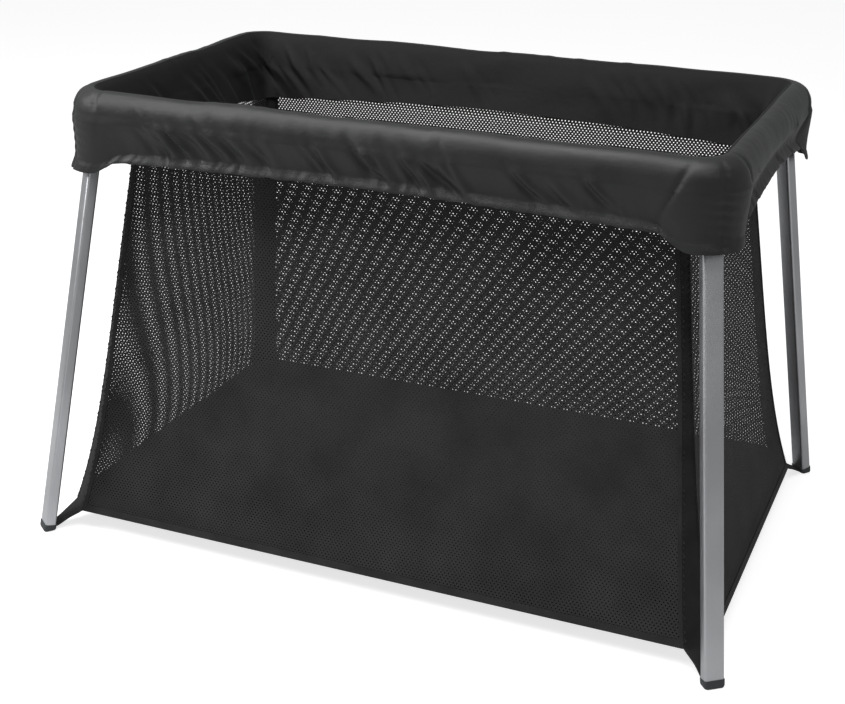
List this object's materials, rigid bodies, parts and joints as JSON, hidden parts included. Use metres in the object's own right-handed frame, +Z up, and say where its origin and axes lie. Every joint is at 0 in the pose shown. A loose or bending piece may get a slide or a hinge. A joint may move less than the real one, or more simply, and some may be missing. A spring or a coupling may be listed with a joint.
{
  "type": "travel play yard",
  "caption": "Folding travel play yard: hinged tube frame on four splayed legs, with a padded rail cover, net walls and a padded floor mat.",
  "frame": {"origin": "on the floor, under the middle of the yard", "axes": "+X along the length, +Y across it, away from the front, +Z up"},
  "size_m": [1.1494, 0.7634, 0.722],
  "materials": {
    "anodised_aluminium": "satin silver anodised",
    "rail_aluminium": "mill finish",
    "pin_steel": "plain steel",
    "black_plastic": "moulded nylon",
    "button_plastic": "moulded acetal",
    "cover_cloth": "satin nylon, padded",
    "net": "knitted polyester net",
    "floor_cloth": "woven polyester",
    "mat_cloth": "quilted polyester over foam",
    "webbing": "woven webbing"
  },
  "bodies": {
    "right_frame": {"rail_front_right": "rail_aluminium", "rail_back_right": "rail_aluminium", "rail_end_right": "rail_aluminium", "casting_front_right": "black_plastic", "casting_back_right": "black_plastic", "bracket_front_right": "black_plastic", "bracket_back_right": "black_plastic", "leg_pin_front_right": "pin_steel", "leg_pin_back_right": "pin_steel", "leg_front_right_spring": "pin_steel", "leg_back_right_spring": "pin_steel", "cover_right": "cover_cloth", "wall_front_right": "net", "wall_back_right": "net", "wall_end_right": "net", "floor_right": "floor_cloth", "mat_right": "mat_cloth", "strap_front_right": "webbing", "strap_back_right": "webbing", "fold_pin_front": "pin_steel", "fold_pin_back": "pin_steel", "latch_front_spring": "pin_steel", "latch_back_spring": "pin_steel"},
    "left_frame": {"rail_front_left": "rail_aluminium", "rail_back_left": "rail_aluminium", "rail_end_left": "rail_aluminium", "casting_front_left": "black_plastic", "casting_back_left": "black_plastic", "bracket_front_left": "black_plastic", "bracket_back_left": "black_plastic", "leg_pin_front_left": "pin_steel", "leg_pin_back_left": "pin_steel", "leg_front_left_spring": "pin_steel", "leg_back_left_spring": "pin_steel", "cover_left": "cover_cloth", "wall_front_left": "net", "wall_back_left": "net", "wall_end_left": "net", "floor_left": "floor_cloth", "mat_left": "mat_cloth", "strap_front_left": "webbing", "strap_back_left": "webbing"},
    "leg_front_left": {"leg_tube_front_left": "anodised_aluminium", "leg_head_front_left": "black_plastic", "foot_front_left": "black_plastic"},
    "leg_front_right": {"leg_tube_front_right": "anodised_aluminium", "leg_head_front_right": "black_plastic", "foot_front_right": "black_plastic"},
    "leg_back_left": {"leg_tube_back_left": "anodised_aluminium", "leg_head_back_left": "black_plastic", "foot_back_left": "black_plastic"},
    "leg_back_right": {"leg_tube_back_right": "anodised_aluminium", "leg_head_back_right": "black_plastic", "foot_back_right": "black_plastic"},
    "leg_front_left_button": {"leg_front_left_button": "button_plastic"},
    "leg_front_right_button": {"leg_front_right_button": "button_plastic"},
    "leg_back_left_button": {"leg_back_left_button": "button_plastic"},
    "leg_back_right_button": {"leg_back_right_button": "button_plastic"},
    "latch_front_button": {"latch_front_button": "button_plastic"},
    "latch_back_button": {"latch_back_button": "button_plastic"}
  },
  "joints": [
    {"name": "frame_fold", "type": "hinge", "parent": "right_frame", "child": "left_frame", "pos_m": [0, 0, 0.707], "axis": [0, 1, 0], "range_deg": [0, 170], "deforming": ["cover_right", "wall_front_right", "wall_back_right", "wall_end_right", "floor_right", "mat_right", "strap_front_right", "strap_back_right", "cover_left", "wall_front_left", "wall_back_left", "wall_end_left", "floor_left", "mat_left", "strap_front_left", "strap_back_left"]},
    {"name": "leg_front_left_fold", "type": "hinge", "parent": "left_frame", "child": "leg_front_left", "pos_m": [-0.47659, -0.26193, 0.657], "axis": [0.788, -0.6157, 0], "range_deg": [0, 89.29]},
    {"name": "leg_front_right_fold", "type": "hinge", "parent": "right_frame", "child": "leg_front_right", "pos_m": [0.47659, -0.26193, 0.657], "axis": [0.788, 0.6157, 0], "range_deg": [0, 101.29]},
    {"name": "leg_back_left_fold", "type": "hinge", "parent": "left_frame", "child": "leg_back_left", "pos_m": [-0.47659, 0.26193, 0.657], "axis": [-0.788, -0.6157, 0], "range_deg": [0, 101.29]},
    {"name": "leg_back_right_fold", "type": "hinge", "parent": "right_frame", "child": "leg_back_right", "pos_m": [0.47659, 0.26193, 0.657], "axis": [-0.788, 0.6157, 0], "range_deg": [0, 89.29]},
    {"name": "leg_front_left_release", "type": "slide", "parent": "left_frame", "child": "leg_front_left_button", "axis": [0.6157, 0.788, 0], "range_m": [0, 0.004], "stiffness_N_per_m": 400, "deforming": ["leg_front_left_spring"]},
    {"name": "leg_front_right_release", "type": "slide", "parent": "right_frame", "child": "leg_front_right_button", "axis": [-0.6157, 0.788, 0], "range_m": [0, 0.004], "stiffness_N_per_m": 400, "deforming": ["leg_front_right_spring"]},
    {"name": "leg_back_left_release", "type": "slide", "parent": "left_frame", "child": "leg_back_left_button", "axis": [0.6157, -0.788, 0], "range_m": [0, 0.004], "stiffness_N_per_m": 400, "deforming": ["leg_back_left_spring"]},
    {"name": "leg_back_right_release", "type": "slide", "parent": "right_frame", "child": "leg_back_right_button", "axis": [-0.6157, -0.788, 0], "range_m": [0, 0.004], "stiffness_N_per_m": 400, "deforming": ["leg_back_right_spring"]},
    {"name": "latch_front_release", "type": "slide", "parent": "right_frame", "child": "latch_front_button", "axis": [0, 1, 0], "range_m": [0, 0.004], "stiffness_N_per_m": 400, "deforming": ["latch_front_spring"]},
    {"name": "latch_back_release", "type": "slide", "parent": "right_frame", "child": "latch_back_button", "axis": [0, -1, 0], "range_m": [0, 0.004], "stiffness_N_per_m": 400, "deforming": ["latch_back_spring"]}
  ],
  "couplings": [
    {"joint": "leg_front_left_fold", "follows": "frame_fold", "ratio": 0.52518},
    {"joint": "leg_front_right_fold", "follows": "frame_fold", "ratio": 0.59576},
    {"joint": "leg_back_left_fold", "follows": "frame_fold", "ratio": 0.59576},
    {"joint": "leg_back_right_fold", "follows": "frame_fold", "ratio": 0.52518}
  ]
}
